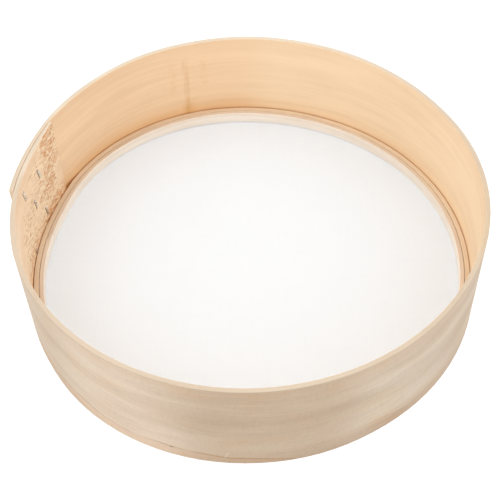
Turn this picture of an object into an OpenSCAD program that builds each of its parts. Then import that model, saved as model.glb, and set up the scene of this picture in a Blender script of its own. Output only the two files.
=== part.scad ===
// Wooden drum sieve: a tall bent-wood hoop, closed by one lap joint with wire staples,
// and a fine mesh cloth gripped between two low rings pressed into its foot.
// The axis of the drum is Z, and the foot rests on Z = 0.
// Angles turn from +X towards +Y. The lap joint lies around 168 degrees.

/* [Main hoop] */
// Outside diameter of the hoop
hoop_d = 300; // [200:1:400]
// Height of the hoop
hoop_h = 77; // [60:1:110]
// Thickness of the bent strip that the hoop is made of
strip_t = 3; // [2.8:0.1:4]
// Chamfer on the long edges of every bent strip
edge_ease = 0.3; // [0.1:0.05:0.5]

/* [Lap joint] */
// Angle at which the outer end of the hoop strip stops
lap_outer_end = 179; // [177:0.5:185]
// Angle at which the inner end of the hoop strip stops
lap_inner_end = 153.5; // [150:0.5:156]
// Glue line between the two ends
lap_gap = 0.1; // [0.05:0.05:0.3]

/* [Rings] */
// Height of the top of both rings above the foot
ring_top = 12.9; // [12:0.1:20]
// Thickness of the outer ring
outer_ring_t = 3.5; // [2.5:0.1:4.5]
// Thickness of the inner ring
inner_ring_t = 2.8; // [2:0.1:4]
// Gap between the hoop and the outer ring
seat_gap = 0.2; // [0.1:0.05:0.4]
// Width of the cut where the two ends of a ring meet
ring_joint_w = 0.2; // [0.1:0.05:0.5]

/* [Mesh cloth] */
// Height of the top of the stretched cloth above the foot
cloth_z = 4.5; // [4.4:0.1:6]
// Thickness of the cloth
cloth_t = 0.3; // [0.2:0.05:0.5]
// How far the trimmed edge of the cloth stays below the top of the rings
cloth_trim = 0.4; // [0.2:0.1:1]
// Square openings across the cloth, a plain grid that stands for its fine mesh
mesh_count = 12; // [6:1:12]
// Width of an opening as a share of the distance from one to the next
mesh_open = 0.55; // [0.3:0.05:0.7]

/* [Staples] */
// Length of a staple along the wall, over its crown
crown_l = 10; // [8:0.5:12]
// Thickness of the staple wire
wire_d = 0.9; // [0.6:0.1:1.1]
// Length of the staple legs
leg_l = 4.8; // [4:0.1:5]
// Lean of the crowns from upright, their tops towards the outer end of the strip
staple_lean = 12; // [0:1:20]

/* [Hidden] */
$fn = 180;

// Outer radius of the hoop
hoop_r = hoop_d / 2;
// The inner end of the strip runs this much nearer to the axis than the rest of the hoop
lap_drop = strip_t + lap_gap;
// The hoop is dented by lap_drop at dent_angle, along an arc of a larger circle whose
// centre lies dent_shift beyond the axis
dent_angle = 163;
dent_shift = 16;
dent_centre = -dent_shift * [cos(dent_angle), sin(dent_angle), 0];
dent_growth = dent_shift - lap_drop;
// Past this angle the dent has run out, and the strip is round again
round_again = 225;
// The strip's two stretches share this much of a turn there
end_overlap = 5;
// Room beyond the inner end of the strip, as part of a turn
end_room = 0.1;

outer_ring_r = hoop_r - strip_t - seat_gap;
cloth_r = outer_ring_r - outer_ring_t;
inner_ring_r = cloth_r - cloth_t;

// Where the two ends of each ring meet
outer_ring_joint = 300;
inner_ring_joint = 171.5;
// Slant of the inner ring's scarf joint against the strip
scarf_angle = 22;

// Angle of each staple round the lap, and the height of its middle as a share of the hoop's
staple_places = [[165.3, 0.749], [176, 0.834], [170.5, 0.548], [165.4, 0.286], [177.5, 0.179]];
// How deep a crown sinks into the wall, the bend of the wire at its middle, and the fit
crown_sink = 0.35;
bend_r = 0.65;
staple_fit = 0.08;
// How far the openings of the cloth stay clear of the inner ring
mesh_border = 1;
// How far a cutting solid runs on past what it cuts
over = 1;

// A round disc with its two edges eased
module eased_disc(r, z0, z1) {
    e = edge_ease;
    rotate_extrude()
        polygon([[0, z0], [r - e, z0], [r, z0 + e], [r, z1 - e], [r - e, z1], [0, z1]]);
}

// What is cut away to leave a round inner face between z0 and z1 with its edges eased
module eased_bore(r, z0, z1) {
    e = edge_ease;
    rotate_extrude()
        polygon([[0, z0 - over], [r + e + over, z0 - over], [r, z0 + e], [r, z1 - e],
                 [r + e + over, z1 + over], [0, z1 + over]]);
}

module plain_disc(r, z0, z1) {
    translate([0, 0, z0]) cylinder(r = r, h = z1 - z0);
}

// The part of a disc that stays inside the dent: the first child is the round outline, and
// the second is the dent's own, drawn about its own centre
module dented() {
    intersection() {
        children(0);
        translate(dent_centre) children(1);
    }
}

// A closed band that follows the inside of the hoop, dent and all
module dented_band(r_in, r_out, z0, z1) {
    difference() {
        dented() {
            eased_disc(r_out, z0, z1);
            eased_disc(r_out + dent_growth, z0, z1);
        }
        dented() {
            eased_bore(r_in, z0, z1);
            eased_bore(r_in + dent_growth, z0, z1);
        }
    }
}

// A dented disc of something thin, such as the cloth
module dented_sheet(r, z0, z1) {
    dented() {
        plain_disc(r, z0, z1);
        plain_disc(r + dent_growth, z0, z1);
    }
}

// All that lies between two angles
module wedge(a0, a1) {
    reach = 2 * hoop_r;
    mid = (a0 + a1) / 2;
    translate([0, 0, -over]) linear_extrude(hoop_h + 2 * over)
        polygon([[0, 0], reach * [cos(a0), sin(a0)], reach * [cos(mid), sin(mid)],
                 reach * [cos(a1), sin(a1)]]);
}

// Puts its children on the inner face of the lap where staple i is, X outwards through the wood
module at_staple(i) {
    a = staple_places[i][0];
    z = staple_places[i][1] * hoop_h;
    face_r = hoop_r - strip_t + dent_growth;
    turn = a - dent_angle;
    reach = sqrt(pow(face_r, 2) - pow(dent_shift * sin(turn), 2)) - dent_shift * cos(turn);
    spot = reach * [cos(a), sin(a), 0] - dent_centre;
    translate(dent_centre) rotate([0, 0, atan2(spot[1], spot[0])]) translate([face_r, 0, z])
        rotate([-staple_lean, 0, 0]) children();
}

// A wire staple: a straight crown along Z, two bends and two legs along X
module staple() {
    straight = crown_l - wire_d - 2 * bend_r;
    crown_x = crown_sink - wire_d / 2;
    translate([crown_x, 0, -straight / 2]) cylinder(d = wire_d, h = straight, $fn = 24);
    for (side = [0, 1]) mirror([0, 0, side]) {
        translate([crown_x + bend_r, 0, straight / 2]) rotate([90, 0, 0]) rotate([0, 0, 90])
            rotate_extrude(angle = 90, $fn = 32)
                translate([bend_r, 0]) circle(d = wire_d, $fn = 24);
        translate([crown_x + bend_r, 0, straight / 2 + bend_r]) rotate([0, 90, 0])
            cylinder(d = wire_d, h = leg_l - bend_r, $fn = 24);
    }
}

// The room that a staple needs in the wood: a groove for the crown and two holes
module staple_room() {
    hole_d = wire_d + 2 * staple_fit;
    leg_z = (crown_l - wire_d) / 2;
    groove_x = bend_r + wire_d / 2;
    translate([-over, -hole_d / 2, -crown_l / 2 - staple_fit])
        cube([over + groove_x, hole_d, crown_l + 2 * staple_fit]);
    for (z = [-leg_z, leg_z]) translate([0, 0, z])
        rotate([0, 90, 0]) cylinder(d = hole_d, h = leg_l + staple_fit, $fn = 24);
}

module staples_room() {
    for (i = [0 : len(staple_places) - 1]) at_staple(i) staple_room();
}

// The hoop: one strip bent once round, its inner end stapled to the inside of its outer end
module main_hoop() {
    color("#f0d0a4") difference() {
        union() {
            // The outer end, which stops at lap_outer_end and is thinned to lie on the inner end
            difference() {
                eased_disc(hoop_r, 0, hoop_h);
                eased_bore(hoop_r - strip_t, 0, hoop_h);
                wedge(lap_outer_end, round_again - end_overlap);
                intersection() {
                    wedge(lap_inner_end - end_room, lap_outer_end + end_overlap);
                    translate(dent_centre)
                        plain_disc(hoop_r + dent_growth + lap_gap, -over, hoop_h + over);
                }
            }
            // The inner end, which runs in along the dent and stops at lap_inner_end
            intersection() {
                dented_band(hoop_r - strip_t, hoop_r, 0, hoop_h);
                wedge(lap_inner_end, round_again);
            }
        }
        staples_room();
    }
}

module outer_ring() {
    color("#dcbb8c") difference() {
        dented_band(cloth_r, outer_ring_r, 0, ring_top);
        rotate([0, 0, outer_ring_joint]) translate([cloth_r - over, -ring_joint_w / 2, -over])
            cube([outer_ring_t + 2 * over, ring_joint_w, ring_top + 2 * over]);
        staples_room();
    }
}

module inner_ring() {
    mid_r = inner_ring_r - inner_ring_t / 2 - lap_drop;
    cut_l = 4 * inner_ring_t / sin(scarf_angle);
    color("#e4c49c") difference() {
        dented_band(inner_ring_r - inner_ring_t, inner_ring_r, cloth_z, ring_top);
        rotate([0, 0, inner_ring_joint]) translate([mid_r, 0, 0]) rotate([0, 0, 90 - scarf_angle])
            translate([-cut_l / 2, -ring_joint_w / 2, 0])
                cube([cut_l, ring_joint_w, ring_top + over]);
    }
}

// The square openings of the cloth that lie whole inside the inner ring
module mesh_openings() {
    clear_r = inner_ring_r - inner_ring_t - lap_drop - mesh_border;
    pitch = 2 * clear_r / mesh_count;
    side = mesh_open * pitch;
    for (i = [0 : mesh_count - 1], j = [0 : mesh_count - 1]) {
        x = (i + 0.5) * pitch - clear_r;
        y = (j + 0.5) * pitch - clear_r;
        if (norm([abs(x) + side / 2, abs(y) + side / 2]) < clear_r)
            translate([x - side / 2, y - side / 2, cloth_z - cloth_t - over])
                cube([side, side, cloth_t + 2 * over]);
    }
}

// The stretched cloth, which lies flat under the inner ring
module mesh_cloth() {
    color("#f4f2ee") difference() {
        dented_sheet(cloth_r, cloth_z - cloth_t, cloth_z);
        mesh_openings();
    }
}

// The edge of the same cloth, which comes up between the two rings and is pinched there
module cloth_edge() {
    color("#f4f2ee") difference() {
        dented_sheet(cloth_r, cloth_z, ring_top - cloth_trim);
        dented_sheet(inner_ring_r, cloth_z - over, ring_top);
    }
}

module lap_staple(i) {
    color("#c8c8c6") at_staple(i) staple();
}

main_hoop();
outer_ring();
inner_ring();
mesh_cloth();
cloth_edge();
lap_staple(0);  // lap_staple_1
lap_staple(1);  // lap_staple_2
lap_staple(2);  // lap_staple_3
lap_staple(3);  // lap_staple_4
lap_staple(4);  // lap_staple_5
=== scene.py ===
"""A wooden drum sieve: a bent-wood hoop and rings, a fine woven cloth and wire staples."""

import math

import bpy
from bpy.props import FloatProperty, FloatVectorProperty, IntProperty, PointerProperty
from mathutils import Matrix, Vector, noise


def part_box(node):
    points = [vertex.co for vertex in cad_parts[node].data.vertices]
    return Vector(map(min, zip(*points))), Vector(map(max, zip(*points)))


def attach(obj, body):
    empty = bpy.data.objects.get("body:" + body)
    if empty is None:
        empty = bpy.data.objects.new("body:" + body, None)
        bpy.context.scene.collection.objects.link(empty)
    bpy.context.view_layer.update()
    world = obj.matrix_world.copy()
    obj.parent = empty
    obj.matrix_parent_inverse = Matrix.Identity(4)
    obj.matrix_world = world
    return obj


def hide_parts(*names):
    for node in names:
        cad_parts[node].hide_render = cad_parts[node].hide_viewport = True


bl_info = {
    "name": "Wooden drum sieve",
    "version": (1, 0, 0),
    "blender": (4, 5, 0),
    "location": "3D View > Sidebar > Sieve",
    "description": "Models a bent-wood drum sieve with a woven cloth, piece by piece",
    "category": "Add Mesh",
}

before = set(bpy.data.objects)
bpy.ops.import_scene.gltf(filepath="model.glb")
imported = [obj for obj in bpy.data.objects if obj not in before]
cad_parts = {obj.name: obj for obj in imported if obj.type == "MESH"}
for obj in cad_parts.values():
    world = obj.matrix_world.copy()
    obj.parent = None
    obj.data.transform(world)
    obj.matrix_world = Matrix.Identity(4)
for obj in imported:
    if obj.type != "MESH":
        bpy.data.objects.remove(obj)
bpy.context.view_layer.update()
HOOP_LOW, HOOP_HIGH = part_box("main_hoop")
RING_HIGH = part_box("outer_ring")[1]
CLOTH_LOW, CLOTH_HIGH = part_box("mesh_cloth")
BODY = "root"
MM = 0.001
THREAD_HEIGHT = 0.17 * MM
# The gap where a ring's ends meet, the slant of the inner ring's ends, and its press into the cloth
RING_GAP = 0.2 * MM
INNER_RING_SLANT = 6.3 * MM
INNER_RING_PRESS = 0.2 * MM

# Where things stand round the hoop, in degrees from +X towards +Y
LAP_START = 153.5
LAP_END = 179.0
DENT_ANGLE = 163.0
TAPER_END = 161.5
LIFT_START = 157.0
THINNING_START = 148.5
OUTER_RING_JOINT = 300.0
INNER_RING_JOINT = 171.5
ARCH_ANGLE = 293.0
# Angle and height of each staple, in degrees and millimetres
STAPLES = ((165.3, 57.7), (176.0, 64.2), (170.5, 42.2), (165.4, 22.0), (177.5, 13.8))
# How far the hand-bent strip stands outside a true circle, in millimetres, every 15 degrees from +X
RIM_SWAY = (
    0.45, 0.15, -0.85, -0.65, 0.1, 0.9, 2.2, 2.5, 2.75, 1.65, 0.8, -0.4,
    0.03, 0.2, 0.4, 0.85, 1.0, 0.95, 0.75, 0.4, 0.2, 0.0, 0.1, 0.3,
)
FOOT_SWAY = (
    0.1, -0.15, -0.55, -1.1, -1.4, -0.9, 0.4, 1.8, 2.1, 1.4, -0.45, -0.6,
    -0.67, -0.45, -0.6, 0.7, 1.2, 1.1, 0.7, 0.4, -0.1, 0.3, 0.6, 0.6,
)
# Height of the brown grain line in millimetres, every 7.5 degrees from 210 degrees, till it runs off the foot
LEFT_LINE = (6, 10, 11.7, 9, 8.4, 9.3, 8.6, 6.7, 5.5, 2.5, -4)
# Torn places of the lap, in degrees and millimetres: angle, height, half width, half height and how badly
TORN_PATCHES = (
    (156.5, 73, 9, 8, 1.0),
    (157.5, 63, 9, 9, 0.95),
    (157.5, 50, 10, 11, 0.85),
    (160.5, 37, 6, 10, 1.0),
    (165.5, 37, 5, 5, 0.95),
    (162, 30, 6, 8, 0.75),
    (160.5, 18, 8, 8, 0.85),
    (163.5, 14, 8, 4, 0.9),
    (167, 49, 13, 8, 0.5),
    (168.5, 65, 6, 6, 0.5),
    (176, 40.5, 3, 4, 0.85),
    (183, 41, 3.5, 3.5, 0.75),
    (180, 34, 6, 8, 0.5),
    (181, 20, 13, 9, 0.55),
    (172, 35, 24, 34, 0.4),
)


def measure(name, description, value):
    """A length property, in metres."""
    return FloatProperty(name=name, description=description, default=value, unit="LENGTH")


def amount(name, description, value):
    """A plain number property."""
    return FloatProperty(name=name, description=description, default=value)


def degrees(name, description, value):
    """An angle property, its default given in degrees."""
    return FloatProperty(name=name, description=description, default=math.radians(value), subtype="ANGLE")


def colour(name, description, value):
    """A colour property, in linear light."""
    return FloatVectorProperty(name=name, description=description, default=value, size=3, subtype="COLOR")


class SieveSizes(bpy.types.PropertyGroup):
    strip: measure("Strip thickness", "Thickness of the hoop's bent strip", 3.0 * MM)
    ease: measure("Eased edge", "Width of the rounding on the edges of a strip", 0.3 * MM)
    out_of_round: amount("Out of round", "Share of the strip's sway that is shown", 1.0)
    lap_gap: measure("Lap gap", "Gap between the two ends of the hoop's strip", 0.35 * MM)
    lap_depth: measure("Lap depth", "How far the inner end runs inside the outer one", 2.7 * MM)
    taper: measure("Taper", "How much thinner the strip's inner end is", 1.2 * MM)
    end_lift: measure("End lift", "How far the strip's outer end springs off", 1.0 * MM)
    pit_depth: measure("Pit depth", "Depth of the pits in the torn grain", 0.5 * MM)
    seat: measure("Seat", "Gap between the hoop and the outer ring", 0.3 * MM)
    outer_ring: measure("Outer ring", "Thickness of the outer ring", 3.3 * MM)
    inner_ring: measure("Inner ring", "Thickness of the inner ring", 2.8 * MM)
    thread: measure("Thread", "Thickness of a thread of the cloth", 0.26 * MM)
    pitch: measure("Thread pitch", "Distance from one thread to the next", 0.5 * MM)
    wire: measure("Staple wire", "Thickness of the staple wire", 0.9 * MM)
    crown: measure("Staple crown", "Length of a staple over its crown", 10.0 * MM)
    leg: measure("Staple leg", "Length of a staple's legs", 4.8 * MM)
    staple_lean: degrees("Staple lean", "Lean of the crowns from upright", 12)
    rows: IntProperty(name="Rows", description="Rows of faces up the hoop's wall", default=120, min=8)


class SieveColours(bpy.types.PropertyGroup):
    inside: colour("Hoop inside", "Wood of the hoop's inner face", (0.90, 0.69, 0.465))
    outside: colour("Hoop outside", "Wood of the hoop's outer face", (0.757, 0.612, 0.468))
    edge: colour("Hoop edge", "Wood of the hoop's long edges", (0.548, 0.438, 0.325))
    ring: colour("Ring", "Sawn wood of the outer ring", (0.75, 0.59, 0.42))
    pale_ring: colour("Pale ring", "Sawn wood of the inner ring", (0.73, 0.60, 0.475))
    # The pale face colour is painted light: bounce light from the white cloth on the inner ring's inner face.
    bounce_lit_face: colour("Pale face", "Planed inner face of the inner ring", (0.965, 0.895, 0.81))
    torn: colour("Torn grain", "Wood in the torn spots of the lap", (0.64, 0.27, 0.09))
    mark: colour("Grain line", "Brown line in the grain", (0.50, 0.30, 0.14))
    cloth: colour("Cloth", "Threads of the cloth", (0.9108, 0.9382, 0.9655))
    wire: colour("Wire", "Galvanised staple wire", (0.95, 0.95, 0.94))
    floor: colour("Floor", "Floor and backdrop", (0.32, 0.32, 0.32))


def bump(angle, middle, half_width):
    """1 at the middle angle, falling smoothly to 0 at half_width degrees to either side of it."""
    away = min(abs(angle - middle) / half_width, 1.0)
    return math.cos(0.5 * math.pi * away) ** 2


def curve_through(table, place):
    """A smooth curve through the values of a table that closes on itself. The place counts in its steps."""
    first, part = int(place), place % 1
    a, b, c, d = (table[(first + k) % len(table)] for k in (-1, 0, 1, 2))
    return b + 0.5 * part * (c - a + part * (2 * a - 5 * b + 4 * c - d + part * (3 * (b - c) + d - a)))


def sway(table, angle):
    """How far the strip stands outside a true circle at an angle."""
    place = angle % 360 * len(table) / 360
    return curve_through(table, place) * MM * bpy.context.scene.sieve_sizes.out_of_round


def dent_depth(angle):
    """How far inside the hoop's outline the outer face of the strip's inner end runs. It follows a larger
    circle that is shifted away from the lap, and blends softly into the outline."""
    sizes = bpy.context.scene.sieve_sizes
    radius, shift, soft, play = HOOP_HIGH.x, 16 * MM, 0.3 * MM, 0.1 * MM
    growth = shift - sizes.strip - play
    turn = math.radians(angle - DENT_ANGLE)
    reach = math.sqrt((radius + growth) ** 2 - (shift * math.sin(turn)) ** 2) - shift * math.cos(turn)
    depth = radius - reach
    return 0.5 * (depth + math.hypot(depth, soft)) * sizes.lap_depth / (shift - growth)


def taper_share(angle):
    """How much of the taper the strip's inner end has at an angle: all at its tip, none further on."""
    return max(0.0, 1 - (angle - LAP_START) / (TAPER_END - LAP_START))


def end_lift(angle):
    """How far the strip's outer end springs off the lap, growing towards the end."""
    grown = max(0.0, (angle - LIFT_START) / (LAP_END - LIFT_START)) ** 1.4
    return bpy.context.scene.sieve_sizes.end_lift * grown


def hoop_depth(angle, height):
    """Depth of the outer face of the hoop's strip below the round outline. The angle grows past 360 on the
    strip's outer turn, which ends over the inner end. Height is a share, 0 at the foot and 1 at the rim."""
    depth = dent_depth(angle) if angle < LAP_START + 180 else -end_lift(angle - 360)
    return depth - sway(FOOT_SWAY, angle) * (1 - height) - sway(RIM_SWAY, angle) * height


def ring_depth(angle):
    """Depth of the outer ring's outer face. It lies in the hoop's foot, and the lap pushes it in. Beyond the
    strip's inner end it springs back to the hoop over a few degrees."""
    sizes = bpy.context.scene.sieve_sizes
    place = angle % 360
    height = RING_HIGH.z / HOOP_HIGH.z
    spring_back = 3.7
    before = max(0.0, (LAP_START - place) / spring_back)
    if place < LAP_START:
        inwards = (dent_depth(LAP_START) - sizes.taper) * math.exp(-before - 0.12 * before * before)
    else:
        inwards = dent_depth(place) - sizes.taper * taper_share(place) if place < LAP_START + 90 else 0.0
    outwards = sway(FOOT_SWAY, angle) * (1 - height) + sway(RIM_SWAY, angle) * height
    return sizes.strip + sizes.seat + inwards - outwards


def path_points(start, end, depth_at):
    """Points along a bent strip, at most a degree apart. depth_at gives its depth at an angle."""
    steps = math.ceil(end - start)
    points = []
    for i in range(steps + 1):
        angle = start + (end - start) * i / steps
        turn, radius = math.radians(angle), HOOP_HIGH.x - depth_at(angle)
        points.append(Vector((radius * math.cos(turn), radius * math.sin(turn), 0)))
    return points


def length_of(points):
    return sum((b - a).length for a, b in zip(points, points[1:]))


def only(piece):
    """Leaves just this piece selected and active."""
    if bpy.context.mode != "OBJECT":
        bpy.ops.object.mode_set(mode="OBJECT")
    bpy.ops.object.select_all(action="DESELECT")
    piece.select_set(True)
    bpy.context.view_layer.objects.active = piece


def select_edges(piece, test):
    """Selects in edit mode the edges whose two end points pass the test."""
    only(piece)
    bpy.ops.object.mode_set(mode="EDIT")
    bpy.ops.mesh.select_mode(type="EDGE")
    bpy.ops.mesh.select_all(action="DESELECT")
    bpy.ops.object.mode_set(mode="OBJECT")
    points = [v.co for v in piece.data.vertices]
    for edge in piece.data.edges:
        edge.select = test(points[edge.vertices[0]], points[edge.vertices[1]])
    bpy.ops.object.mode_set(mode="EDIT")


def divide(piece, cuts, test):
    """Cuts the edges that pass the test, and the faces between them."""
    select_edges(piece, test)
    bpy.ops.mesh.subdivide(number_cuts=cuts)
    bpy.ops.object.mode_set(mode="OBJECT")


def apply_modifier(piece, kind, **settings):
    only(piece)
    bpy.ops.object.modifier_add(type=kind)
    modifier = piece.modifiers[-1]
    for key, value in settings.items():
        setattr(modifier, key, value)
    bpy.ops.object.modifier_apply(modifier=modifier.name)


def straight_strip(name, length, thickness, low, high, ease, columns, rows=0, split=None):
    """A straight strip along +X with its inner face towards +Y, eased on every edge and cut into columns
    and rows of faces. split gives the end of a first length that has finer columns, and their number."""
    bpy.ops.object.select_all(action="DESELECT")
    middle = (length / 2, 0, (low + high) / 2)
    bpy.ops.mesh.primitive_cube_add(size=1, location=middle, scale=(length, thickness, high - low))
    piece = bpy.context.object
    piece.name = name
    bpy.ops.object.transform_apply(location=True, rotation=False, scale=True)
    bpy.ops.object.mode_set(mode="EDIT")
    bpy.ops.mesh.select_all(action="SELECT")
    bpy.ops.mesh.bevel(offset=ease, segments=2, affect="EDGES")
    bpy.ops.object.mode_set(mode="OBJECT")
    if split:
        split_end, split_columns = split
        divide(piece, 1, lambda a, b: abs(a.x - b.x) > 0.5 * length)
        select_edges(piece, lambda a, b: abs(a.x - length / 2) < ease and abs(b.x - length / 2) < ease)
        bpy.ops.transform.translate(value=(split_end - length / 2, 0, 0))
        bpy.ops.object.mode_set(mode="OBJECT")
        divide(piece, split_columns - 1, lambda a, b: 0.9 * split_end < abs(a.x - b.x) < 1.1 * split_end)
    divide(piece, columns - 1, lambda a, b: abs(a.x - b.x) > 0.5 * length)
    if rows:
        divide(piece, rows - 1, lambda a, b: abs(a.z - b.z) > 0.5 * (high - low))
    remember_straight(piece)
    return piece


def remember_straight(piece):
    """Keeps where each point lies in the straight strip, so that the grain follows the bend."""
    attribute = piece.data.attributes.new("strip", "FLOAT_VECTOR", "POINT")
    for vertex, kept in zip(piece.data.vertices, attribute.data):
        kept.vector = vertex.co


def weigh(piece, name, weight_of):
    """A vertex group whose weights come from a function of the point."""
    group = piece.vertex_groups.new(name=name)
    for vertex in piece.data.vertices:
        weight = weight_of(vertex.co)
        if weight > 0:
            group.add([vertex.index], min(weight, 1.0), "REPLACE")
    return group.name


def bend(piece, points):
    """Bends a straight strip round to follow the points, and fits its length to theirs."""
    only(piece)
    along = [v.co.x for v in piece.data.vertices]
    piece.scale.x = length_of(points) / (min(along) + max(along))
    bpy.ops.object.transform_apply(location=False, rotation=False, scale=True)
    line = bpy.data.curves.new("bend_line", "CURVE")
    line.dimensions = "3D"
    line.twist_mode = "Z_UP"
    spline = line.splines.new("POLY")
    spline.points.add(len(points) - 1)
    for point, kept in zip(points, spline.points):
        kept.co = (*point, 1)
    former = bpy.data.objects.new("bend_line", line)
    bpy.context.scene.collection.objects.link(former)
    apply_modifier(piece, "CURVE", object=former, deform_axis="POS_X")
    bpy.data.objects.remove(former)
    bpy.data.curves.remove(line)


def finish_piece(piece, slot, *nodes):
    """Rides on the one body and stands for its CAD nodes."""
    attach(piece, BODY)
    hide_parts(*nodes)


def sink(piece, name, depth, weight_of):
    """Sinks the points of the strip's inner face by the depth, times their weights."""
    group = weigh(piece, name, weight_of)
    apply_modifier(piece, "DISPLACE", direction="Y", strength=-depth, mid_level=0, vertex_group=group)


def smooth(piece, angle=20):
    only(piece)
    bpy.ops.object.shade_smooth_by_angle(angle=math.radians(angle))


def middle_radius():
    """Radius of the middle of the hoop's strip."""
    return HOOP_HIGH.x - bpy.context.scene.sieve_sizes.strip / 2


def along_hoop(x):
    """The angle at a length along the hoop's straight strip."""
    return LAP_START + math.degrees(x / middle_radius())


def strip_x(angle):
    """The length along the hoop's straight strip at an angle, which grows past 360 on its second turn."""
    return math.radians(angle - LAP_START) * middle_radius()


def tear_share(point):
    """How much of the lap's inner face is torn round a point, from 0 to 1."""
    last_angle, rim = 200, 76.6
    angle, z = along_hoop(point.x), point.z / MM
    if point.y < 0.9 * bpy.context.scene.sieve_sizes.strip / 2 or angle > last_angle or z > rim:
        return 0.0
    share = 0.0
    for middle, height, half_width, half_height, strength in TORN_PATCHES:
        here = bump(angle, middle, half_width) * bump(z, height, half_height)
        share = max(share, strength * min(1.0, 1.8 * here))
    return share


def torn_weight(point):
    """How deep the grain is torn at a point of the inner face: 1 in a pit, below 0 on a raised fibre. Long
    and short streaks lie along the grain, mostly in rows."""
    share = tear_share(point)
    if share < 0.02:
        return 0.0
    x, z = point.x / MM, point.z / MM
    streak = noise.noise(Vector((x / 3.0, z / 0.7, 3.1)))
    short_streak = noise.noise(Vector((x / 1.3, z / 0.65, 7.7)))
    row_height, row_pitch = 75, 4.1
    row = 0.14 * math.cos(2 * math.pi * (z - row_height) / row_pitch)
    depth = 2.6 * (streak + 0.5 * short_streak + row - 0.64 + 0.52 * share)
    return max(-0.5, min(1.0, depth)) * min(1.0, 3 * share)


def taper_weight(point):
    """How much of the taper the inner face of the strip's inner end has at a point."""
    if point.y < 0.5 * bpy.context.scene.sieve_sizes.strip / 2:
        return 0.0
    return taper_share(along_hoop(point.x))


def outer_end_weight(point):
    """How much the outer end of the strip is thinned to lie on the inner end, in millimetres."""
    strip = bpy.context.scene.sieve_sizes.strip
    if point.y < 0.5 * strip / 2:
        return 0.0
    angle = along_hoop(point.x) - 360
    if angle < THINNING_START:
        return 0.0
    start = max(angle, LAP_START)
    room = dent_depth(start) + end_lift(start) - bpy.context.scene.sieve_sizes.lap_gap
    fade = min(1.0, (angle - THINNING_START) / (LAP_START - THINNING_START))
    return max(0.0, fade * (strip - room) / MM)


def line_height_left(angle):
    """Height in millimetres of the brown grain line that runs off the foot at the front."""
    start, step = 210, 7.5
    place = min(max((angle - start) / step, 0.0), len(LEFT_LINE) - 1.01)
    return curve_through(LEFT_LINE, place) + 0.3 * math.sin(math.radians(31 * angle))


def line_height_right(angle):
    """Height in millimetres of the grain arch on the front right."""
    top, steep = 13.6, 0.022 if angle < ARCH_ANGLE else 0.0315
    return top - steep * (angle - ARCH_ANGLE) ** 2 + 0.3 * math.sin(math.radians(23 * angle))


def keep_values(piece, name, value_of):
    """Stores a value of a function of the straight strip's point at each point."""
    straight = piece.data.attributes["strip"].data
    values = [value_of(kept.vector) for kept in straight]
    attribute = piece.data.attributes.new(name, "FLOAT", "POINT")
    attribute.data.foreach_set("value", values)


class SIEVE_OT_main_hoop(bpy.types.Operator):
    """Bends the hoop's strip round once and laps its two ends"""

    bl_idname = "sieve.main_hoop"
    bl_label = "Main hoop"

    def execute(self, context):
        sizes = context.scene.sieve_sizes
        turn_end = LAP_END + 360
        paths = [
            path_points(LAP_START, turn_end, lambda a: hoop_depth(a, height) + sizes.strip / 2)
            for height in (0, 1)
        ]
        fine_length, fine_columns, coarse_columns = 100 * MM, 170, 155
        hoop = straight_strip(
            "bent_hoop", strip_x(turn_end), sizes.strip, HOOP_LOW.z, HOOP_HIGH.z, sizes.ease,
            coarse_columns, sizes.rows, (fine_length, fine_columns),
        )
        keep_values(hoop, "torn", torn_weight)
        keep_values(hoop, "tear", tear_share)
        keep_values(hoop, "left_line", lambda p: p.z / MM - line_height_left(along_hoop(p.x)))
        keep_values(hoop, "right_line", lambda p: p.z / MM - line_height_right(along_hoop(p.x)))
        sink(hoop, "torn_pits", sizes.pit_depth, torn_weight)
        sink(hoop, "tapered", sizes.taper, taper_weight)
        sink(hoop, "thinned", 1 * MM, outer_end_weight)
        only(hoop)
        bpy.ops.object.duplicate()
        rim_shape = bpy.context.object
        bend(hoop, paths[0])
        bend(rim_shape, paths[1])
        height = weigh(hoop, "height", lambda p: p.z / HOOP_HIGH.z)
        only(rim_shape)
        hoop.select_set(True)
        context.view_layer.objects.active = hoop
        bpy.ops.object.join_shapes()
        key = hoop.data.shape_keys.key_blocks[-1]
        key.vertex_group, key.value = height, 1
        only(hoop)
        hoop.active_shape_key_index = 1
        bpy.ops.object.shape_key_remove(all=True, apply_mix=True)
        bpy.data.objects.remove(rim_shape)
        hoop.vertex_groups.clear()
        smooth(hoop)
        paint_hoop(hoop)
        finish_piece(hoop, "hoop_wood", "main_hoop")
        return {"FINISHED"}


def bent_ring(name, thickness, low, high, start, depth_at, slant=0.0):
    """A low ring bent from one strip, whose ends meet at the start angle with the slant given."""
    sizes = bpy.context.scene.sieve_sizes
    gap = math.degrees(RING_GAP / HOOP_HIGH.x)
    points = path_points(start, start + 360 - gap, lambda a: depth_at(a) + thickness / 2)
    ring = straight_strip(name, length_of(points), thickness, low, high, sizes.ease, columns=300)
    ring.data.transform(Matrix(((1, -slant / thickness, 0, 0), (0, 1, 0, 0), (0, 0, 1, 0), (0, 0, 0, 1))))
    bend(ring, points)
    smooth(ring)
    return ring


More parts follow.
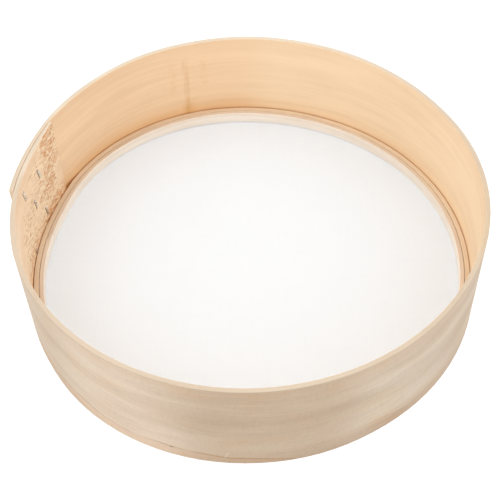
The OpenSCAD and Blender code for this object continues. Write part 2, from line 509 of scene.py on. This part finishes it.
class SIEVE_OT_rings(bpy.types.Operator):
    """Bends the outer and the inner ring and presses them into the foot"""

    bl_idname = "sieve.rings"
    bl_label = "Rings"

    def execute(self, context):
        sizes = context.scene.sieve_sizes
        outer = bent_ring("bent_outer_ring", sizes.outer_ring, 0, RING_HIGH.z, OUTER_RING_JOINT, ring_depth)
        paint(outer, ring_wood("outer_ring_wood", context.scene.sieve_colours.ring, 0.8))
        finish_piece(outer, "ring_wood", "outer_ring")
        cloth_room = CLOTH_HIGH.z - CLOTH_LOW.z
        inner = bent_ring(
            "bent_inner_ring", sizes.inner_ring, CLOTH_HIGH.z - INNER_RING_PRESS, RING_HIGH.z,
            INNER_RING_JOINT, lambda a: ring_depth(a) + sizes.outer_ring + cloth_room, INNER_RING_SLANT,
        )
        paint_inner_ring(inner)
        finish_piece(inner, "ring_wood", "inner_ring")
        return {"FINISHED"}


def cloth_radius(angle):
    """Radius of the cloth's edge, between the two rings."""
    sizes = bpy.context.scene.sieve_sizes
    return HOOP_HIGH.x - ring_depth(angle) - sizes.outer_ring - 0.5 * (CLOTH_HIGH.z - CLOTH_LOW.z)


def thread_end(offset, side, across):
    """Where a thread at this offset from the axis meets the edge of the cloth, on one side of it. It is
    found in a few rounds, because the edge isn't quite round."""
    guess, rounds = 0.1, 12
    reach = side * guess
    for _ in range(rounds):
        angle = math.degrees(math.atan2(reach, offset) if across else math.atan2(offset, reach)) % 360
        radius = cloth_radius(angle)
        reach = side * math.sqrt(max(radius * radius - offset * offset, 0))
    return reach


def add_threads(points, faces, across, z):
    """Adds one layer of straight six-sided threads, along X, or along Y if across."""
    sizes = bpy.context.scene.sieve_sizes
    sides = 6
    reach = cloth_radius(0) - sizes.pitch
    count = int(2 * reach / sizes.pitch)
    for i in range(count + 1):
        offset = -reach + 2 * reach * i / count
        first = len(points)
        for side in (-1, 1):
            end = thread_end(offset, side, across)
            for k in range(sides):
                turn = 2 * math.pi * (k + 0.5) / sides
                sideways, up = 0.5 * sizes.thread * math.cos(turn), 0.5 * THREAD_HEIGHT * math.sin(turn)
                place = (offset + sideways, end) if across else (end, offset + sideways)
                points.append((*place, z + up))
        ring = [first + k for k in range(sides)]
        far = [first + sides + k for k in range(sides)]
        walls = [(ring[k - 1], ring[k], far[k], far[k - 1]) for k in range(sides)]
        whole = [tuple(reversed(ring)), *walls, tuple(far)]
        faces.extend(whole if across else [tuple(reversed(face)) for face in whole])


class SIEVE_OT_mesh_cloth(bpy.types.Operator):
    """Lays the cloth's straight threads both ways, and turns its edge up between the rings"""

    bl_idname = "sieve.mesh_cloth"
    bl_label = "Mesh cloth"

    def execute(self, context):
        middle, layer_shift = (CLOTH_LOW.z + CLOTH_HIGH.z) / 2, 0.4 * THREAD_HEIGHT
        points, faces = [], []
        add_threads(points, faces, True, middle - layer_shift)
        add_threads(points, faces, False, middle + layer_shift)
        mesh = bpy.data.meshes.new("woven_cloth")
        mesh.from_pydata(points, [], faces)
        cloth = bpy.data.objects.new("woven_cloth", mesh)
        context.scene.collection.objects.link(cloth)
        only(cloth)
        bpy.ops.object.mode_set(mode="EDIT")
        bpy.ops.mesh.select_all(action="SELECT")
        bpy.ops.mesh.normals_make_consistent(inside=False)
        bpy.ops.object.mode_set(mode="OBJECT")
        edge_thickness, edge_ease, edge_top = 0.2 * MM, 0.05 * MM, RING_HIGH.z - 1.4 * MM
        edge_line = path_points(0, 359.9, lambda a: HOOP_HIGH.x - cloth_radius(a))
        edge = straight_strip(
            "turned_edge", length_of(edge_line), edge_thickness, CLOTH_LOW.z, edge_top, edge_ease, columns=300
        )
        bend(edge, edge_line)
        only(edge)
        cloth.select_set(True)
        context.view_layer.objects.active = cloth
        bpy.ops.object.join()
        smooth(cloth, 70)
        paint(cloth, cloth_material())
        finish_piece(cloth, "mesh", "mesh_cloth", "cloth_edge")
        return {"FINISHED"}


def draw_wire(x, z):
    """Draws the wire's selected end straight on."""
    bpy.ops.mesh.extrude_region_move(TRANSFORM_OT_translate={"value": (x, 0, z)})


def bend_wire(radius, z):
    """Bends the wire's selected end by a quarter turn."""
    bpy.ops.mesh.spin(steps=8, angle=math.pi / 2, center=(radius, 0, z), axis=(0, -1, 0))


def staple_at_origin():
    """One staple of round wire, its crown upright along Z and its legs along +X."""
    sizes = bpy.context.scene.sieve_sizes
    bend_radius, half_crown = 0.65 * MM, (sizes.crown - sizes.wire) / 2
    straight_leg, half_straight = sizes.leg - bend_radius, half_crown - bend_radius
    bpy.ops.object.select_all(action="DESELECT")
    bpy.ops.mesh.primitive_circle_add(
        vertices=14, radius=sizes.wire / 2, fill_type="NGON",
        location=(sizes.leg, 0, -half_crown), rotation=(0, math.pi / 2, 0),
    )
    staple = bpy.context.object
    bpy.ops.object.transform_apply(location=True, rotation=True, scale=True)
    bpy.ops.object.mode_set(mode="EDIT")
    bpy.ops.mesh.select_all(action="SELECT")
    draw_wire(-straight_leg, 0)
    bend_wire(bend_radius, -half_straight)
    draw_wire(0, 2 * half_straight)
    bend_wire(bend_radius, half_straight)
    draw_wire(straight_leg, 0)
    bpy.ops.mesh.select_all(action="SELECT")
    bpy.ops.mesh.remove_doubles(threshold=0.001 * MM)
    bpy.ops.mesh.normals_make_consistent(inside=False)
    bpy.ops.object.mode_set(mode="OBJECT")
    return staple


class SIEVE_OT_lap_staples(bpy.types.Operator):
    """Drives the wire staples through the lap, crowns upright on the inner face"""

    bl_idname = "sieve.lap_staples"
    bl_label = "Lap staples"

    def execute(self, context):
        sizes = context.scene.sieve_sizes
        off_wood = 0.1 * MM
        first = staple_at_origin()
        steel = staple_material()
        for number, (angle, height) in enumerate(STAPLES, start=1):
            only(first)
            bpy.ops.object.duplicate()
            staple = bpy.context.object
            staple.name = f"wire_staple_{number}"
            z = height * MM
            depth = hoop_depth(angle, z / HOOP_HIGH.z) + sizes.strip
            radius = HOOP_HIGH.x - depth - off_wood
            turn = math.radians(angle)
            lean = sizes.staple_lean + math.radians(1.5 * math.sin(9 * number))
            staple.rotation_euler = (-lean, 0, turn)
            staple.location = (radius * math.cos(turn), radius * math.sin(turn), z)
            bpy.ops.object.transform_apply(location=True, rotation=True, scale=True)
            smooth(staple, 50)
            paint(staple, steel)
            finish_piece(staple, "staple_wire", f"lap_staple_{number}")
        bpy.data.objects.remove(first)
        return {"FINISHED"}


def paint(piece, *materials):
    piece.data.materials.clear()
    for material in materials:
        piece.data.materials.append(material)


class Recipe:
    """The nodes of a new material, or of a world, with short calls that add to them. The tone is the colour
    mixed so far."""

    def __init__(self, name, world=None):
        self.owner = world or bpy.data.materials.new(name)
        self.owner.use_nodes = True
        self.tree = self.owner.node_tree
        self.tree.nodes.clear()
        self.output = self.add("ShaderNodeOutputWorld" if world else "ShaderNodeOutputMaterial")
        self.tone = None

    def feed(self, socket, value):
        """Links an output to an input, or sets the input's own value. None leaves it as it is."""
        if isinstance(value, bpy.types.NodeSocket):
            self.tree.links.new(value, socket)
        elif value is not None:
            socket.default_value = (*value, 1.0) if socket.type == "RGBA" else value

    def feed_named(self, node, values):
        for name, value in values.items():
            self.feed(node.inputs[name], value)

    def add(self, kind, *inputs, **settings):
        """Adds a node with its settings, and feeds its inputs in their order."""
        made = self.tree.nodes.new(kind)
        for key, value in settings.items():
            setattr(made, key, value)
        for socket, value in zip(made.inputs, inputs):
            self.feed(socket, value)
        return made

    def math(self, operation, a, b=0.0):
        return self.add("ShaderNodeMath", a, b, operation=operation).outputs[0]

    def times(self, *values):
        product = values[0]
        for value in values[1:]:
            product = self.math("MULTIPLY", product, value)
        return product

    def seen_directly(self):
        """1 for what the camera sees straight, mirrored or through glass, 0 for the light on things."""
        path = self.add("ShaderNodeLightPath").outputs
        seen = self.math("MAXIMUM", path["Is Camera Ray"], path["Is Glossy Ray"])
        return self.math("MAXIMUM", seen, path["Is Transmission Ray"])

    def noise_at(self, point, scale=1.0, detail=2.0, roughness=0.5):
        return self.add("ShaderNodeTexNoise", point, None, scale, detail, roughness).outputs["Fac"]

    def ramp(self, value, low, high):
        """0 up to low and 1 from high on, smooth between. With low above high it falls instead."""
        ends = (high, low, 1.0, 0.0) if low > high else (low, high, 0.0, 1.0)
        return self.add("ShaderNodeMapRange", value, *ends, interpolation_type="SMOOTHSTEP").outputs["Result"]

    def band(self, value, middle, half_width, soft):
        """1 within half_width of the middle, falling to 0 over the soft width beyond it."""
        away = self.math("ABSOLUTE", self.math("SUBTRACT", value, middle))
        return self.ramp(away, half_width + soft, half_width)

    def cover(self, over, *factors, kind="MIX"):
        """Lays a colour over the tone, as far as the product of the factors goes."""
        made = self.add("ShaderNodeMix", data_type="RGBA", blend_type=kind)
        factor = self.times(*factors)
        for key, value in (("Factor_Float", factor), ("A_Color", self.tone), ("B_Color", over)):
            self.feed(next(s for s in made.inputs if s.identifier == key), value)
        self.tone = next(s for s in made.outputs if s.identifier == "Result_Color")

    def tint(self, gain, *factors):
        """Multiplies the tone by a gain in red, green and blue instead, so that its grain stays."""
        self.cover(gain, *factors, kind="MULTIPLY")

    def shade(self, roughness, bump_height=None, bump_depth=0.1 * MM, metallic=0.0, specular=0.3):
        """Ends the recipe with one principled surface in its tone."""
        shader = self.add("ShaderNodeBsdfPrincipled")
        self.feed_named(shader, {
            "Base Color": self.tone, "Roughness": roughness,
            "Metallic": metallic, "Specular IOR Level": specular,
        })
        if bump_height is not None:
            made = self.add("ShaderNodeBump")
            self.feed_named(made, {"Strength": 1.0, "Distance": bump_depth, "Height": bump_height})
            self.feed(shader.inputs["Normal"], made.outputs[0])
        return self.finish(shader)

    def finish(self, shader):
        self.feed(self.output.inputs["Surface"], shader.outputs[0])
        return self.owner


class WoodRecipe(Recipe):
    """A wood that follows the straight strip, where along, through and up are lengths."""

    def __init__(self, name):
        super().__init__(name)
        self.wander = None
        parts = self.add("ShaderNodeSeparateXYZ", self.attribute("strip", "Vector"))
        self.along, self.through, self.up = (parts.outputs[axis] for axis in "XYZ")

    def attribute(self, name, output="Fac"):
        made = self.add("ShaderNodeAttribute", attribute_name=name, attribute_type="GEOMETRY")
        return made.outputs[output]

    def noise(self, scale, detail=3.0, roughness=0.55):
        """Noise whose patches are 1 / scale metres along, through and up the strip."""
        point = self.attribute("strip", "Vector")
        if self.wander:
            point = self.add("ShaderNodeVectorMath", point, self.wander, operation="ADD").outputs[0]
        point = self.add("ShaderNodeMapping", point, None, None, scale).outputs[0]
        return self.noise_at(point, 1.0, detail, roughness)

    def drift(self, scale, reach):
        """A length that changes from place to place, and stays within half the reach of 0."""
        return self.times(self.math("SUBTRACT", self.noise(scale, 2.0), 0.5), reach)

    def let_grain_wander(self, scale, reach):
        """Makes the noises added after this one bend up and down the strip."""
        self.wander = self.add("ShaderNodeCombineXYZ", 0.0, 0.0, self.drift(scale, reach)).outputs[0]

    def stretch(self, angle, half_width, soft):
        """A band on the hoop's strip round an angle, its widths in millimetres."""
        return self.band(self.along, strip_x(angle), half_width * MM, soft * MM)

    def sector(self, angle, edge_angle, soft):
        """A band on the hoop's strip round an angle that reaches to another, soft in millimetres."""
        return self.band(self.along, strip_x(angle), abs(strip_x(edge_angle) - strip_x(angle)), soft * MM)

    def turning(self, start, end):
        """A ramp on the hoop's strip from one angle to another."""
        return self.ramp(self.along, strip_x(start), strip_x(end))

    def belt(self, height, half_width, soft):
        """A band at a height, all in millimetres."""
        return self.band(self.up, height * MM, half_width * MM, soft * MM)

    def rise(self, low, high):
        """A ramp from one height to another, in millimetres."""
        return self.ramp(self.up, low * MM, high * MM)

    def lay_grain(self, wood, contrast, streak_share=0.4):
        """Bare planed wood: broad tone, streaks along the strip, fine grain and short pores. It sets the
        tone and gives the height of the grain."""
        broad = self.noise((6, 30, 34), 2.0)
        streaks = self.noise((14, 160, 330), 4.0, 0.6)
        fine = self.noise((55, 700, 1900), 3.0, 0.6)
        pores = self.noise((260, 900, 2600), 2.0)
        coarse = self.math("ADD", self.times(broad, 0.82 - streak_share), self.times(streaks, streak_share))
        grain = self.math("ADD", coarse, self.times(fine, 0.18))
        self.tone = wood
        self.cover(scaled(wood, 0.80, 0.16), self.ramp(grain, 0.56, 0.34), contrast)
        self.cover(scaled(wood, 1.08, -0.04), self.ramp(grain, 0.46, 0.66), contrast)
        self.cover(scaled(wood, 0.62, 0.2), self.ramp(pores, 0.66, 0.74), 0.3 * contrast)
        return self.math("ADD", self.times(fine, 0.6), self.times(streaks, 0.4))


def scaled(colour_value, factor, warmth=0.0):
    """A colour made lighter or darker, and warmer by taking green and blue away."""
    red, green, blue = colour_value
    return (red * factor, green * factor * (1 - 0.5 * warmth), blue * factor * (1 - warmth))


def staple_shadows(recipe):
    """1 in the painted shadow along one side of each staple's crown."""
    sizes = bpy.context.scene.sieve_sizes
    lean = sizes.staple_lean
    shadows = 0.0
    for angle, height in STAPLES:
        beside = recipe.math("SUBTRACT", recipe.along, strip_x(angle))
        above = recipe.math("SUBTRACT", recipe.up, height * MM)
        turned = recipe.times(beside, math.cos(lean)), recipe.times(above, math.sin(lean))
        mark = recipe.times(
            recipe.band(recipe.math("SUBTRACT", *turned), 0.5 * sizes.wire + 0.15 * MM, 0.35 * MM, 0.2 * MM),
            recipe.band(above, 0.0, 0.42 * sizes.crown, 0.08 * sizes.crown),
        )
        shadows = recipe.math("MAXIMUM", shadows, mark)
    return shadows


def torn_grain(recipe, wood, torn_colour):
    """Warmer wood in the torn places of the lap, with painted highlights on the raised fibres and in pale
    flecks, and brown flecks and pits whose brown is partly the torn wood's own and partly painted shade.
    Gives the flecks."""
    torn, tear = recipe.attribute("torn"), recipe.attribute("tear")
    recipe.tint((0.985, 0.86, 0.72), tear, 0.45)
    # Painted highlights: paler wood on the raised fibres and in pale flecks.
    recipe.cover(scaled(wood, 1.06, -0.1), recipe.ramp(torn, -0.1, -0.5), 0.7)
    painted_fibre_highlights = recipe.ramp(recipe.noise((230, 10, 1100), 2.0), 0.56, 0.64)
    recipe.cover(scaled(wood, 1.06, -0.12), painted_fibre_highlights, tear, 0.3)
    # Brown flecks and pits: partly the torn wood's own colour, partly painted shade in the pits.
    flecks = recipe.math("ADD", recipe.noise((210, 10, 950), 3.0, 0.6), recipe.times(tear, 0.1))
    flecks = recipe.times(recipe.ramp(flecks, 0.60, 0.645), recipe.ramp(tear, 0.03, 0.3))
    recipe.cover(torn_colour, flecks, 0.68)
    recipe.cover(torn_colour, recipe.ramp(torn, 0.05, 0.45), 0.62)
    return flecks


def back_streak(recipe):
    """A brown streak that wanders up the inner face at the back, a stain at its foot, and faint specks on
    both sides."""
    straight = recipe.along
    recipe.along = recipe.math("ADD", straight, recipe.drift((40, 40, 90), 2.5 * MM))
    uneven = recipe.ramp(recipe.noise((420, 300, 60), 3.0), 0.25, 0.65)
    specks = recipe.ramp(recipe.noise((420, 300, 260), 3.0), 0.42, 0.6)
    sides = recipe.math("MAXIMUM", recipe.stretch(461.6, 1, 3), recipe.stretch(470.8, 1, 3))
    recipe.tint((0.90, 0.80, 0.68), recipe.stretch(466.9, 0.9, 2.2), recipe.rise(68, 58), uneven, 0.75)
    recipe.tint((0.92, 0.85, 0.70), recipe.stretch(466.8, 3, 4), recipe.rise(30, 16), 0.6)
    recipe.tint((0.94, 0.86, 0.76), sides, recipe.belt(48, 9, 9), specks, 0.4)
    recipe.along = straight


def inside_wood():
    """The hoop's inner face: warm and smooth, with painted shade towards its foot and its rim, browner at the
    back with a streak, pale beside the lap, a painted shadow line and warm painted shade in the crevice over
    the rings, and torn at the lap."""
    colours = bpy.context.scene.sieve_colours
    wood, torn_colour = colours.inside, colours.torn
    recipe = WoodRecipe("hoop_inside")
    recipe.let_grain_wander((9, 10, 16), 7 * MM)
    height = recipe.lay_grain(wood, 0.42, 0.33)
    back, near_lap, low = recipe.sector(484, 456, 45), recipe.turning(215, 195), recipe.rise(30, 12)
    recipe.tint((0.98, 0.93, 0.895), back)
    recipe.tint((0.97, 0.955, 0.985), near_lap)
    recipe.tint((1.0, 1.06, 1.13), recipe.stretch(197, 12, 26), recipe.rise(50, 66))
    # Painted shade: the face darkens and warms towards the rings, most at the back and beside the lap.
    foot_shade_share = recipe.math("ADD", recipe.times(recipe.math("MAXIMUM", back, near_lap), 0.65), 0.2)
    recipe.tint((0.92, 0.80, 0.64), low, foot_shade_share)
    recipe.tint((0.85, 0.72, 0.62), low, near_lap)
    # Painted shade: the face darkens towards the rim.
    recipe.tint((0.95, 0.93, 0.92), recipe.rise(64, 75))
    ring_top = RING_HIGH.z / MM
    # Painted shadow: a thin dark line along the top of the outer ring, and warm painted shade in the crevice
    # below it.
    recipe.tint((0.5, 0.3, 0.15), recipe.belt(ring_top + 0.2, 0.3, 0.7), 0.35)
    recipe.tint((0.95, 0.62, 0.36), recipe.rise(ring_top + 0.3, ring_top - 0.5))
    specks = recipe.ramp(recipe.noise((220, 10, 800), 3.0, 0.6), 0.65, 0.70)
    recipe.tint((0.94, 0.83, 0.70), specks, 0.6)
    back_streak(recipe)
    flecks = torn_grain(recipe, wood, torn_colour)
    # Painted shadow beside each staple's crown.
    recipe.cover(scaled(torn_colour, 0.2), staple_shadows(recipe), 0.85)
    height = recipe.math("SUBTRACT", height, recipe.times(flecks, 1.6))
    return recipe.shade(0.62, height, 0.12 * MM)


def grain_lines(recipe, mark):
    """The brown line that runs off the foot at the left of the front, with yellower wood below it, and three
    faint arches one under another at the right."""
    uneven = recipe.ramp(recipe.noise((30, 30, 30), 2.0), 0.25, 0.6)
    above_line, above_arch = recipe.attribute("left_line"), recipe.attribute("right_line")
    at_left, at_right = recipe.sector(243, 278, 12), recipe.sector(295, 306, 20)
    recipe.tint((0.97, 0.89, 0.80), recipe.ramp(above_line, 0.3, -0.5), at_left, 0.6)
    recipe.cover(mark, recipe.band(above_line, 0.0, 0.2, 0.7), at_left, uneven, 0.85)
    for drop, soft, share in ((0.0, 1.3, 0.3), (-2.6, 0.7, 0.25), (-4.6, 0.6, 0.2)):
        recipe.cover(mark, recipe.band(above_arch, drop, 0.15, soft), at_right, uneven, share)


def knot_and_nick(recipe, wood, mark):
    """A small dark knot on the brown line, and a slanting pale nick to the right of it."""
    recipe.cover(scaled(mark, 0.22), recipe.stretch(250.8, 0.9, 0.6), recipe.belt(8.6, 0.15, 0.4), 0.85)
    nick_height = 9
    slant = (strip_x(264.0) - strip_x(263.1)) / (6.3 * MM)
    above = recipe.math("SUBTRACT", recipe.up, nick_height * MM)
    beside = recipe.math("SUBTRACT", recipe.along, recipe.times(above, slant))
    across = recipe.band(beside, strip_x(263.5), 0.15 * MM, 0.45 * MM)
    recipe.cover(scaled(wood, 1.25, -0.2), across, recipe.belt(nick_height, 2.4, 0.8), 0.5)


def outside_wood():
    """The hoop's outer face: pale and mottled, with fine lines and cross flecks, painted light on two
    stretches and painted shade on one between them in front, darker towards foot and rim, with brown grain
    lines, a knot and a nick."""
    colours = bpy.context.scene.sieve_colours
    recipe = WoodRecipe("hoop_outside")
    recipe.let_grain_wander((15, 10, 26), 11 * MM)
    height = recipe.lay_grain(colours.outside, 0.7, 0.24)
    mottling = recipe.noise((22, 10, 48), 3.0, 0.6)
    recipe.tint((1.0, 0.95, 0.885), recipe.ramp(mottling, 0.5, 0.7))
    recipe.tint((1.0, 0.985, 1.0), recipe.ramp(mottling, 0.5, 0.3))
    recipe.tint((0.92, 0.90, 0.87), recipe.ramp(recipe.noise((520, 10, 190), 3.0), 0.45, 0.75), 0.6)
    lines = recipe.noise((42, 10, 760), 4.0, 0.65)
    recipe.tint((0.93, 0.91, 0.885), recipe.ramp(lines, 0.50, 0.68), 0.55)
    recipe.tint((1.06, 1.06, 1.05), recipe.ramp(lines, 0.46, 0.30), 0.6)
    # Painted light on the front left and the front right, and painted shade on the front between them.
    recipe.tint((1.19, 1.215, 1.26), recipe.stretch(237, 14, 44), recipe.rise(92, 55))
    recipe.tint((1.07, 1.13, 1.18), recipe.stretch(309, 18, 36), recipe.belt(38, 12, 15))
    recipe.tint((0.89, 0.86, 0.82), recipe.stretch(274, 25, 38))
    recipe.tint((0.96, 0.93, 0.91), recipe.math("MAXIMUM", recipe.rise(60, 74), recipe.rise(18, 8)))
    grain_lines(recipe, colours.mark)
    knot_and_nick(recipe, colours.outside, colours.mark)
    return recipe.shade(0.6, height, 0.12 * MM)


def edge_wood():
    """The hoop's long edges: fine streaks along them, painted light on the inner corner, paler at the back
    and on the lap, yellower at the right, and palest on the strip's outer end."""
    half_strip = 0.5 * bpy.context.scene.sieve_sizes.strip
    recipe = WoodRecipe("hoop_edge")
    height = recipe.lay_grain(bpy.context.scene.sieve_colours.edge, 0.7)
    # Painted light on the eased inner corner.
    recipe.tint((1.32, 1.27, 1.2), recipe.ramp(recipe.through, half_strip - 0.35 * MM, half_strip))
    back = recipe.math("MAXIMUM", recipe.turning(380, 440), recipe.turning(188, 168))
    recipe.tint((1.14, 1.18, 1.22), back)
    recipe.tint((1.06, 1.08, 1.10), recipe.stretch(498, 15, 45))
    recipe.tint((1.0, 0.96, 0.89), recipe.stretch(348, 20, 30))
    end = strip_x(LAP_END + 360)
    recipe.tint((1.5, 1.45, 1.4), recipe.ramp(recipe.along, end - 0.2 * MM, end - 0.05 * MM))
    return recipe.shade(0.7, height, 0.15 * MM)


def paint_hoop(hoop):
    """Gives the inner face, the outer face and the edges of the strip their own woods."""
    strip, level = bpy.context.scene.sieve_sizes.strip, 0.02 * MM
    paint(hoop, inside_wood(), outside_wood(), edge_wood())
    straight = hoop.data.attributes["strip"].data
    for face in hoop.data.polygons:
        y = [straight[i].vector.y for i in face.vertices]
        z = [straight[i].vector.z for i in face.vertices]
        flat_side = max(y) - min(y) < level and max(z) - min(z) > 0
        middle = sum(y) / len(y)
        if flat_side and abs(middle) > 0.4 * strip:
            face.material_index = 0 if middle > 0 else 1
        else:
            face.material_index = 2


def ring_wood(name, wood, contrast):
    """Sawn ring wood, a little rougher than the hoop's, yellower at its top and with two darker stretches."""
    recipe = WoodRecipe(name)
    height = recipe.lay_grain(wood, contrast)
    recipe.tint((0.985, 0.96, 0.93), recipe.rise(8.5, 12.5))
    long_stretch = recipe.band(recipe.along, 548 * MM, 45 * MM, 50 * MM)
    recipe.tint((0.92, 0.905, 0.885), long_stretch)
    short_stretch = recipe.band(recipe.along, 815 * MM, 22 * MM, 25 * MM)
    top = recipe.ramp(recipe.up, RING_HIGH.z - 0.6 * MM, RING_HIGH.z - 0.2 * MM)
    recipe.tint((0.94, 0.92, 0.885), short_stretch, top)
    return recipe.shade(0.72, height, 0.2 * MM)


def paint_inner_ring(ring):
    """Gives the inner ring its pale face towards the middle, whose paleness is painted bounce light from the
    cloth, and sawn wood elsewhere.
    """
    colours = bpy.context.scene.sieve_colours
    thickness = bpy.context.scene.sieve_sizes.inner_ring
    sawn = ring_wood("inner_ring_wood", colours.pale_ring, 0.7)
    # Painted light: the inner face is made pale for the light the white cloth throws on it.
    bounce_lit_wood = ring_wood("inner_ring_bounce_lit_face", colours.bounce_lit_face, 0.5)
    paint(ring, sawn, bounce_lit_wood)
    straight = ring.data.attributes["strip"].data
    for face in ring.data.polygons:
        if min(straight[i].vector.y for i in face.vertices) > 0.45 * thickness:
            face.material_index = 1


def cloth_material():
    """White threads, some a little darker than others, both ways."""
    recipe = Recipe("white_thread")
    recipe.tone = bpy.context.scene.sieve_colours.cloth
    place = recipe.add("ShaderNodeTexCoord").outputs["Object"]
    for scale in ((900, 12, 1), (12, 900, 1)):
        uneven = recipe.noise_at(recipe.add("ShaderNodeMapping", place, None, None, scale).outputs[0])
        recipe.tint((0.98, 0.98, 0.98), recipe.ramp(uneven, 0.48, 0.72))
    return recipe.shade(0.55, specular=0.35)


def staple_material():
    """Galvanised wire: bright metal, with dark matt places that are partly the wire's own and partly painted
    dark reflections.
    """
    wire = bpy.context.scene.sieve_colours.wire
    recipe = Recipe("galvanised_wire")
    dull_and_dark_reflection = recipe.noise_at(recipe.add("ShaderNodeTexCoord").outputs["Object"], 700.0)
    recipe.tone = wire
    # Painted reflection: dark patches on the wire, partly its own matt places and partly painted dark
    # reflections.
    recipe.cover(scaled(wire, 0.25), recipe.ramp(dull_and_dark_reflection, 0.52, 0.64))
    rough = recipe.math("ADD", recipe.times(dull_and_dark_reflection, 0.15), 0.08)
    return recipe.shade(rough, metallic=1.0, specular=0.5)


class SieveStage(bpy.types.PropertyGroup):
    camera_aside: measure("Camera aside", "How far to the right of the axis the camera stands", 0.0003)
    camera_back: measure("Camera back", "How far in front of the axis the camera stands", 0.4566)
    camera_up: measure("Camera up", "Height of the camera above the foot", 0.5553)
    camera_tilt: degrees("Camera tilt", "Tilt of the camera up from straight down", 40.34)
    camera_roll: degrees("Camera roll", "Turn of the camera about its own axis", -1.10)
    lens: amount("Lens", "Focal length in millimetres on a 36 mm sensor", 75.63)
    sky: amount("Sky", "Strength of the even light from all around", 1.29)
    lamp: amount("Lamp", "Power of the soft lamp above, in watts", 4.1)
    lamp_size: measure("Lamp size", "Side of the soft lamp", 1.6)
    lift: amount("Floor lift", "How much brighter the camera sees the floor", 0.8)


class SIEVE_OT_stage(bpy.types.Operator):
    """Sets the pale floor, the plain light and the camera"""

    bl_idname = "sieve.stage"
    bl_label = "Stage"

    def execute(self, context):
        stage = context.scene.sieve_stage
        self.add_floor(context, stage)
        self.add_light(context, stage)
        bpy.ops.object.camera_add(location=(stage.camera_aside, -stage.camera_back, stage.camera_up))
        camera = context.object
        tilt = Matrix.Rotation(stage.camera_tilt, 4, "X")
        camera.matrix_world = camera.matrix_world @ tilt @ Matrix.Rotation(stage.camera_roll, 4, "Z")
        camera.data.sensor_width = 36
        camera.data.lens = stage.lens
        camera.data.clip_start = 0.01
        context.scene.camera = camera
        context.scene.view_settings.view_transform = "Standard"
        return {"FINISHED"}

    def add_floor(self, context, stage):
        bpy.ops.object.select_all(action="DESELECT")
        bpy.ops.mesh.primitive_plane_add(size=8, location=(0, 0, -0.05 * MM))
        floor = context.object
        floor.name = "floor"
        recipe = Recipe("pale_floor")
        matt = recipe.add("ShaderNodeBsdfDiffuse", context.scene.sieve_colours.floor)
        brightness = recipe.times(recipe.seen_directly(), stage.lift)
        glow = recipe.add("ShaderNodeEmission", (1, 1, 1), brightness)
        paint(floor, recipe.finish(recipe.add("ShaderNodeAddShader", matt.outputs[0], glow.outputs[0])))

    def add_light(self, context, stage):
        world = context.scene.world or bpy.data.worlds.new("studio")
        context.scene.world = world
        recipe = Recipe("studio", world)
        lighting = recipe.add("ShaderNodeBackground", (1, 1, 1), stage.sky).outputs[0]
        backdrop = recipe.add("ShaderNodeBackground", (1, 1, 1), 1.0).outputs[0]
        recipe.finish(recipe.add("ShaderNodeMixShader", recipe.seen_directly(), lighting, backdrop))
        place = Vector((-0.35, 0.0, 1.4))
        bpy.ops.object.light_add(type="AREA", location=place)
        lamp = context.object
        lamp.data.energy = stage.lamp
        lamp.data.size = stage.lamp_size
        lamp.rotation_euler = place.to_track_quat("Z", "Y").to_euler()


class SIEVE_PT_panel(bpy.types.Panel):
    """Lists the sieve's pieces, sizes and colours"""

    bl_idname = "SIEVE_PT_panel"
    bl_label = "Wooden drum sieve"
    bl_space_type = "VIEW_3D"
    bl_region_type = "UI"
    bl_category = "Sieve"

    def draw(self, context):
        for operator in OPERATORS:
            self.layout.operator(operator.bl_idname)
        for group in (context.scene.sieve_sizes, context.scene.sieve_colours, context.scene.sieve_stage):
            box = self.layout.box()
            for name in group.bl_rna.properties.keys():
                if name not in ("rna_type", "name"):
                    box.prop(group, name)


GROUPS = {"sieve_sizes": SieveSizes, "sieve_colours": SieveColours, "sieve_stage": SieveStage}
OPERATORS = (SIEVE_OT_main_hoop, SIEVE_OT_rings, SIEVE_OT_mesh_cloth, SIEVE_OT_lap_staples, SIEVE_OT_stage)


def register():
    for made in (*GROUPS.values(), *OPERATORS, SIEVE_PT_panel):
        bpy.utils.register_class(made)
    for name, group in GROUPS.items():
        setattr(bpy.types.Scene, name, PointerProperty(type=group))


def unregister():
    for name in GROUPS:
        delattr(bpy.types.Scene, name)
    for made in reversed((*GROUPS.values(), *OPERATORS, SIEVE_PT_panel)):
        bpy.utils.unregister_class(made)


def main():
    register()
    bpy.ops.object.select_all(action="DESELECT")
    bpy.ops.sieve.main_hoop()
    bpy.ops.sieve.rings()
    bpy.ops.sieve.mesh_cloth()
    bpy.ops.sieve.lap_staples()
    bpy.ops.sieve.stage()


if __name__ == "__main__":
    main()
